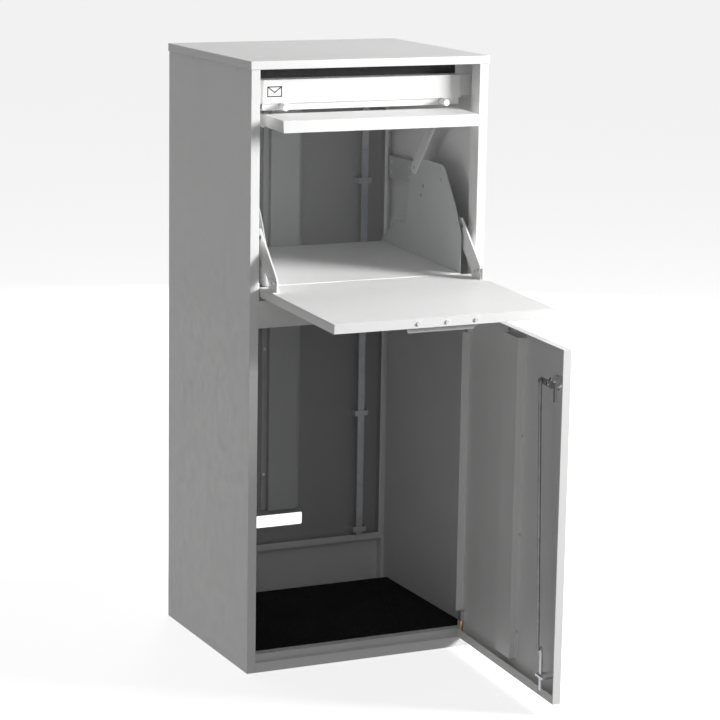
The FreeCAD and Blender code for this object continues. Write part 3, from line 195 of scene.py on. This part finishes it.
def granular_rubber(name):
    """Near-black crumb rubber: packed grains, a few of them lighter."""
    s = Shader(name)
    grain = s.cells(420.0)
    pale = s.ramp(grain.outputs["Color"], 0.90, 0.95, 0.0, 1.0)
    cloud = s.ramp(s.noise(18.0, 4.0), 0.35, 0.7, 0.0, 1.0)
    base = s.mix(cloud, (0.004, 0.004, 0.005), (0.010, 0.010, 0.011))
    s.colour(s.mix(pale, base, (0.05, 0.05, 0.052)))
    s.rough(s.ramp(s.noise(300.0, 3.0), 0.3, 0.7, 0.72, 0.95))
    height = s.bump(grain.outputs["Distance"], 0.0012, 0.9)
    s.bump(s.noise(90.0, 4.0), 0.0010, 0.5, height)
    s.set(Specular_IOR_Level=0.3)
    return s.material


def smooth_rubber(name, tone):
    """Moulded rubber with a soft bloom."""
    s = Shader(name)
    bloom = s.ramp(s.noise(80.0, 5.0), 0.35, 0.7, 0.0, 0.6)
    s.colour(s.mix(bloom, tone, tuple(min(1.0, 1.25 * v + 0.01) for v in tone)))
    s.rough(s.ramp(s.noise(200.0, 3.0), 0.3, 0.7, 0.5, 0.7))
    s.bump(s.noise(600.0, 2.0), 0.0001, 0.4)
    return s.material


def print_ink(name):
    """Screen-printed ink with slightly uneven cover."""
    s = Shader(name)
    cover = s.ramp(s.noise(900.0, 3.0), 0.55, 0.8, 0.0, 0.5)
    s.colour(s.mix(cover, (0.02, 0.02, 0.024), (0.06, 0.06, 0.066)))
    s.rough(s.ramp(s.noise(300.0, 3.0), 0.3, 0.7, 0.45, 0.6))
    s.bump(s.noise(800.0, 2.0), 0.00004, 0.3)
    return s.material


def studio_floor(name):
    """Plain pale floor."""
    s = Shader(name)
    s.colour(s.mix(s.noise(1.2, 3.0), (0.43, 0.43, 0.43), (0.46, 0.46, 0.46)))
    s.rough(s.ramp(s.noise(9.0, 3.0), 0.3, 0.7, 0.6, 0.75))
    s.set(Specular_IOR_Level=0.1, Emission_Color=(1.0, 1.0, 1.0, 1.0), Emission_Strength=0.80)
    return s.material


# ---- materials on the CAD nodes ------------------------------------------------------

WHITE = powder_coat("powder_coat_white", (0.86, 0.86, 0.855), (0.78, 0.78, 0.78))
# A slightly darker copy of the white coat for an interior part: painted shade.
INNER_SHADED = powder_coat("powder_coat_inner_shaded", (0.80, 0.80, 0.80), (0.70, 0.70, 0.70))
# A grey copy of the white coat for parts inside the cabinet: painted shade.
GREY_SHADED = powder_coat("powder_coat_grey_shaded", (0.60, 0.605, 0.61), (0.50, 0.505, 0.51))
# The rear door panel's inner face gets a dark grey as painted shade; its outer face stays white.
REAR_INSIDE_SHADED = coat_with_shaded_inside("powder_coat_rear_inside_shaded", (0.86, 0.86, 0.855), (0.42, 0.42, 0.425),
                      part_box("rear_door_panel")[1][1] - 0.0008)
PLATE = zinc("zinc_sheet", (0.50, 0.51, 0.53), (0.66, 0.67, 0.69), (0.38, 0.55))
STEEL = zinc("zinc_bright", (0.60, 0.61, 0.63), (0.74, 0.75, 0.77), (0.26, 0.42), (1, 1, 6))
DULL = zinc("zinc_dull", (0.20, 0.20, 0.21), (0.31, 0.31, 0.32), (0.45, 0.62), (1, 1, 6))
CHROME = polished("chrome", (0.80, 0.81, 0.83), 0.08)
BRASS = polished("brass", (0.78, 0.52, 0.22), 0.22)
MAT = granular_rubber("crumb_rubber")
RUBBER = smooth_rubber("buffer_rubber", (0.72, 0.72, 0.71))
DARK = smooth_rubber("curtain_rubber", (0.012, 0.012, 0.013))
INK = print_ink("print_ink")

# Pieces not named here are coated white.
NODES_BY_LOOK = [
    (PLATE, ["base_pan", "floor_panel", "front_door_knuckles"]),
    (MAT, ["floor_mat"]),
    (RUBBER, ["rail_buffers"]),
    (STEEL, ["hinge_rod", "drop_screws", "stay_rivets", "tray_rivets", "drive_pins",
        "front_door_rivets", "rear_door_rivets", "front_bolt", "front_bolt_guide", "rear_lock_cam",
        "rear_upper_rod", "rear_lower_rod", "rear_rod_guides", "front_lock_nut", "rear_lock_nut"]),
    (DULL, ["front_lock_lever", "front_rod"]),
    (CHROME, ["front_lock_barrel", "front_lock_plug", "rear_lock_barrel", "rear_lock_plug"]),
    (BRASS, ["front_door_pins", "rear_door_pins"]),
    (DARK, ["slot_curtain"]),
    # Inner face of the rear door panel: painted shade.
    (REAR_INSIDE_SHADED, ["rear_door_panel"]),
    # Interior ribs, door stiffener and tray wings take the grey copy of the white coat as painted shade.
    (GREY_SHADED, ["rear_door_stiffener", "left_tray_wing", "right_tray_wing", "wall_ribs"]),
    # The rear sill takes the darker copy of the white coat as painted shade.
    (INNER_SHADED, ["rear_sill"]),
]
LOOK = {node: look for look, nodes in NODES_BY_LOOK for node in nodes}
# Edge rounding in millimetres, 0.3 where a piece isn't named.
EDGE = {
    "lid": 1.0, "drop_door_pan": 0.7, "drop_door_liner": 0.6, "front_door_panel": 0.6,
    "rear_door_panel": 0.6, "hood": 0.6, "letter_panel": 0.6, "floor_mat": 1.2,
    "drop_handle": 0.8, "rail_buffers": 1.2, "left_side_panel": 0.6, "right_side_panel": 0.6,
}


def dress(node):
    """Give a CAD node its material and softly rounded edges."""
    thing = NODES[node]
    look = LOOK.get(node, WHITE)
    for slot in thing.material_slots:
        slot.material = look
    weld = thing.modifiers.new("weld", "WELD")
    weld.merge_threshold = 0.00001
    bevel = thing.modifiers.new("edge_round", "BEVEL")
    bevel.width = EDGE.get(node, 0.3) * MM
    bevel.segments = 2
    bevel.limit_method = "ANGLE"
    bevel.angle_limit = math.radians(40)
    bevel.harden_normals = True


for node in NODES:
    dress(node)


# ---- added pieces --------------------------------------------------------------------

def piece(name, mesh, look, body):
    """Make an object of a finished bmesh and let it ride on a body."""
    data = bpy.data.meshes.new(name)
    mesh.to_mesh(data)
    mesh.free()
    thing = bpy.data.objects.new(name, data)
    bpy.context.scene.collection.objects.link(thing)
    thing.data.materials.append(look)
    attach(thing, body)
    return thing


def dome(mesh, centre, outward, radius, height):
    """A domed rivet head standing on a face."""
    turn = Vector((0, 0, 1)).rotation_difference(Vector(outward)).to_matrix().to_4x4()
    move = Matrix.Translation(Vector(centre)) @ turn
    rings, sides = 4, 20
    loops = []
    for k in range(rings):
        angle = 0.5 * math.pi * k / rings
        r, z = radius * math.cos(angle), height * math.sin(angle)
        loops.append([mesh.verts.new(move @ Vector((r * math.cos(2 * math.pi * j / sides),
                                                    r * math.sin(2 * math.pi * j / sides), z)))
                      for j in range(sides)])
    top = mesh.verts.new(move @ Vector((0, 0, height)))
    for low, high in zip(loops, loops[1:]):
        for j in range(sides):
            face = mesh.faces.new((low[j], low[(j + 1) % sides], high[(j + 1) % sides], high[j]))
            face.smooth = True
    for j in range(sides):
        face = mesh.faces.new((loops[-1][j], loops[-1][(j + 1) % sides], top))
        face.smooth = True
    mesh.faces.new(list(reversed(loops[0])))


def stroke(mesh, start, end, wide, y, deep):
    """A straight printed line on a panel that faces the front."""
    a, b = Vector(start), Vector(end)
    side = Vector((-(b - a).y, (b - a).x)).normalized() * wide / 2
    along = (b - a).normalized() * wide / 2
    flat = [a - along - side, b + along - side, b + along + side, a - along + side]
    near = [mesh.verts.new((p.x, y - deep, p.y)) for p in flat]
    far = [mesh.verts.new((p.x, y, p.y)) for p in flat]
    mesh.faces.new(near)
    mesh.faces.new(list(reversed(far)))
    for k in range(4):
        mesh.faces.new((near[(k + 1) % 4], near[k], far[k], far[(k + 1) % 4]))


def letter_pictogram():
    """A plain envelope outline printed at the left end of the letter panel."""
    low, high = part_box("letter_panel")
    left, wide, tall = low[0] + 14 * MM, 25 * MM, 16 * MM
    middle = (low[2] + high[2]) / 2
    base, top = middle - tall / 2, middle + tall / 2
    mesh = bmesh.new()
    corners = [(left, base), (left + wide, base), (left + wide, top), (left, top)]
    lines = list(zip(corners, corners[1:] + corners[:1]))
    fold = (left + wide / 2, base + 0.42 * tall)
    lines += [((left, top), fold), (fold, (left + wide, top))]
    for start, end in lines:
        stroke(mesh, start, end, 1.8 * MM, low[1], 0.15 * MM)
    piece("letter_pictogram", mesh, INK, "cabinet")


def wall_rivets():
    """Rivet heads: lid fixings on the sides and the ends of the wall ribs."""
    low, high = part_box("left_side_panel")
    lid_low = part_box("lid")[0][2]
    mesh = bmesh.new()
    for side, x in ((-1, low[0]), (1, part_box("right_side_panel")[1][0])):
        for back in (64, 260):
            dome(mesh, (x, low[1] + back * MM, lid_low - 4 * MM), (side, 0, 0), 2.6 * MM, 0.9 * MM)
    rib_low, rib_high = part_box("wall_ribs")
    for side in (-1, 1):
        x = side * (rib_high[0] - 12 * MM)
        for up in (11, 29):
            dome(mesh, (x, rib_low[1] + 12 * MM, rib_low[2] + up * MM), (-side, 0, 0), 3 * MM, 1.1 * MM)
            dome(mesh, (x, rib_high[1] - 12 * MM, rib_low[2] + up * MM), (-side, 0, 0), 3 * MM, 1.1 * MM)
    piece("wall_rivet_heads", mesh, WHITE, "cabinet")


letter_pictogram()
wall_rivets()


# ---- studio --------------------------------------------------------------------------

def floor():
    """A wide pale floor that takes the object's soft shadow."""
    mesh = bmesh.new()
    rings = [0.0] + [0.6 * 1.5 ** k for k in range(10)]
    sides = 48
    centre = mesh.verts.new((0, 0, 0))
    last = None
    for radius in rings[1:]:
        loop = [mesh.verts.new((radius * math.cos(2 * math.pi * j / sides),
                                radius * math.sin(2 * math.pi * j / sides), 0)) for j in range(sides)]
        for j in range(sides):
            if last is None:
                mesh.faces.new((centre, loop[j], loop[(j + 1) % sides]))
            else:
                mesh.faces.new((last[j], loop[j], loop[(j + 1) % sides], last[(j + 1) % sides]))
        last = loop
    data = bpy.data.meshes.new("studio_floor")
    mesh.to_mesh(data)
    mesh.free()
    thing = bpy.data.objects.new("studio_floor", data)
    bpy.context.scene.collection.objects.link(thing)
    thing.data.materials.append(studio_floor("floor_paint"))
    thing.visible_diffuse = False


def world():
    """An even pale surround, dimmer than the lights."""
    surround = bpy.data.worlds.new("surround")
    bpy.context.scene.world = surround
    surround.use_nodes = True
    tree = surround.node_tree
    tree.nodes.clear()
    output = tree.nodes.new("ShaderNodeOutputWorld")
    lit = tree.nodes.new("ShaderNodeBackground")
    lit.inputs["Color"].default_value = (1.0, 1.0, 1.0, 1.0)
    lit.inputs["Strength"].default_value = 0.18
    seen = tree.nodes.new("ShaderNodeBackground")
    seen.inputs["Color"].default_value = (1.0, 1.0, 1.0, 1.0)
    seen.inputs["Strength"].default_value = 1.0
    path = tree.nodes.new("ShaderNodeLightPath")
    mix = tree.nodes.new("ShaderNodeMixShader")
    tree.links.new(path.outputs["Is Camera Ray"], mix.inputs["Fac"])
    tree.links.new(lit.outputs["Background"], mix.inputs[1])
    tree.links.new(seen.outputs["Background"], mix.inputs[2])
    tree.links.new(mix.outputs["Shader"], output.inputs["Surface"])


def softbox(name, place, aim, side, power):
    """A square soft light aimed at a point."""
    light = bpy.data.lights.new(name, "AREA")
    light.shape = "RECTANGLE"
    light.size, light.size_y = side, side
    light.energy = power
    thing = bpy.data.objects.new(name, light)
    thing.location = place
    thing.rotation_euler = (Vector(aim) - Vector(place)).to_track_quat("-Z", "Y").to_euler()
    bpy.context.scene.collection.objects.link(thing)


def camera():
    """A long lens from the front left, a little above the lid."""
    azimuth, elevation, roll = math.radians(-25.58), math.radians(11.542), math.radians(0.947)
    focal = 2626.4
    eye = Vector((-1914.4, -4154.3, 1434.5)) * MM
    ahead = Vector((-math.sin(azimuth) * math.cos(elevation),
                    math.cos(azimuth) * math.cos(elevation), -math.sin(elevation)))
    level = Vector((math.cos(azimuth), math.sin(azimuth), 0))
    upright = level.cross(ahead)
    right = level * math.cos(roll) + upright * math.sin(roll)
    up = upright * math.cos(roll) - level * math.sin(roll)
    data = bpy.data.cameras.new("camera")
    data.sensor_width = 36.0
    data.lens = 36.0 * focal / 720.0
    thing = bpy.data.objects.new("camera", data)
    matrix = Matrix((right, up, -ahead)).transposed().to_4x4()
    matrix.translation = eye
    thing.matrix_world = matrix
    bpy.context.scene.collection.objects.link(thing)
    bpy.context.scene.camera = thing


floor()
world()
# Name, place and aim in metres, side of the square, watts.
LIGHTS = [
    ("key", (2.7, -1.75, 1.75), (0.0, -0.1, 0.6), 1.1, 205.0),
    ("front_fill", (-0.9, -3.2, 1.9), (0.0, 0.0, 0.7), 1.6, 5.0),
    ("left_fill", (-3.2, 0.1, 1.1), (0.0, 0.0, 0.5), 1.6, 4.0),
    ("top_fill", (0.0, 0.9, 3.0), (0.0, 0.0, 1.0), 1.6, 17.0),
    ("rear_fill", (1.6, 3.2, 0.5), (0.0, 0.0, 0.5), 0.9, 20.0),
]
for light in LIGHTS:
    softbox(*light)
camera()
bpy.context.scene.view_settings.view_transform = "Standard"
